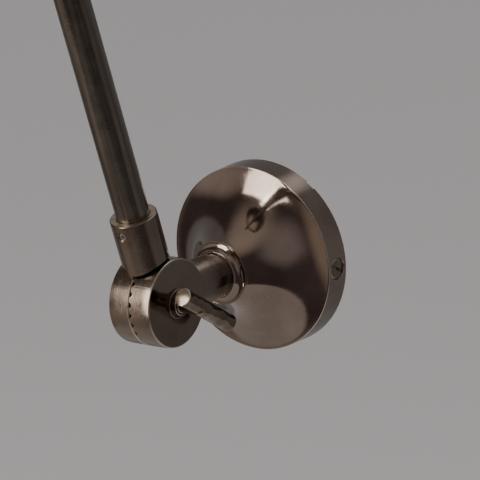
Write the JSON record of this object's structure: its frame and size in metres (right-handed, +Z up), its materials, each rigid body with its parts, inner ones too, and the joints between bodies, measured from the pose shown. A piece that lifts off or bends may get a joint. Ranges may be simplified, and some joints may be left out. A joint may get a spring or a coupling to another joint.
{
  "type": "extendable shaving mirror",
  "caption": "Round shaving mirror in aged brass on a telescopic arm, with toothed clamp knuckles at the mirror and at a flared wall rose.",
  "frame": {"origin": "middle of the wall plate's back, on the wall's surface", "axes": "+Y into the wall, -Y into the room, +Z up, +X to the right of someone who faces the wall"},
  "size_m": [0.2, 0.2095, 0.4384],
  "materials": {
    "aged_brass_polished": "aged, polished",
    "aged_brass_satin": "aged, satin",
    "steel": "machined",
    "silvered_glass": "mirror",
    "felt": "felt",
    "nylon": "natural"
  },
  "bodies": {
    "wall_bracket": {"wall_plate": "aged_brass_satin", "wall_rose": "aged_brass_polished", "rose_rim_screws": "aged_brass_satin", "wall_stud": "steel", "wall_lock_nut": "aged_brass_satin", "wall_collar": "aged_brass_polished", "wall_neck_half": "aged_brass_satin", "wall_clamp_washer": "aged_brass_satin", "wall_clamp_spring": "steel"},
    "wall_clamp": {"wall_clamp_screw": "aged_brass_satin", "wall_t_bar": "aged_brass_polished", "wall_t_bar_pin": "aged_brass_polished"},
    "lower_arm": {"wall_socket_half": "aged_brass_satin", "wall_grub_screw": "steel", "arm_tube": "aged_brass_satin", "arm_guide_bush": "nylon"},
    "lock_collar": {"arm_lock_collar": "aged_brass_satin"},
    "piston": {"arm_piston": "nylon"},
    "upper_arm": {"arm_piston_screw": "steel", "arm_rod": "aged_brass_satin", "mirror_socket_half": "aged_brass_satin", "mirror_grub_screw": "steel"},
    "mirror_clamp": {"mirror_clamp_screw": "aged_brass_satin", "mirror_t_bar": "aged_brass_polished", "mirror_t_bar_pin": "aged_brass_polished"},
    "mirror_head": {"mirror_neck_half": "aged_brass_satin", "mirror_clamp_washer": "aged_brass_satin", "mirror_clamp_spring": "steel", "mirror_collar": "aged_brass_polished", "mirror_back": "aged_brass_polished", "mirror_flange": "aged_brass_satin", "mirror_lock_nut": "aged_brass_satin", "mirror_stud": "steel", "mirror_pad": "felt", "mirror_glass": "silvered_glass", "mirror_bezel": "aged_brass_polished"}
  },
  "joints": [
    {"name": "wall_knuckle", "type": "hinge", "parent": "wall_bracket", "child": "lower_arm", "pos_m": [0, -0.0705, 0], "axis": [1, 0, 0], "range_deg": [-15, 160]},
    {"name": "wall_clamp_turn", "type": "hinge", "parent": "lower_arm", "child": "wall_clamp", "pos_m": [0, -0.0705, 0], "axis": [1, 0, 0], "range_deg": [0, 360]},
    {"name": "lock_collar_turn", "type": "hinge", "parent": "lower_arm", "child": "lock_collar", "pos_m": [0, -0.0705, 0], "axis": [0, -0.2639, 0.9646], "range_deg": [0, 90]},
    {"name": "arm_slide", "type": "slide", "parent": "lower_arm", "child": "piston", "axis": [0, -0.2639, 0.9646], "range_m": [0, 0.15]},
    {"name": "arm_turn", "type": "hinge", "parent": "piston", "child": "upper_arm", "pos_m": [0, -0.0705, 0], "axis": [0, -0.2639, 0.9646], "continuous": true},
    {"name": "mirror_knuckle", "type": "hinge", "parent": "upper_arm", "child": "mirror_head", "pos_m": [0, -0.15283, 0.30094], "axis": [1, 0, 0], "range_deg": [-150, 28]},
    {"name": "mirror_clamp_turn", "type": "hinge", "parent": "upper_arm", "child": "mirror_clamp", "pos_m": [0, -0.15283, 0.30094], "axis": [1, 0, 0], "range_deg": [0, 360]}
  ]
}
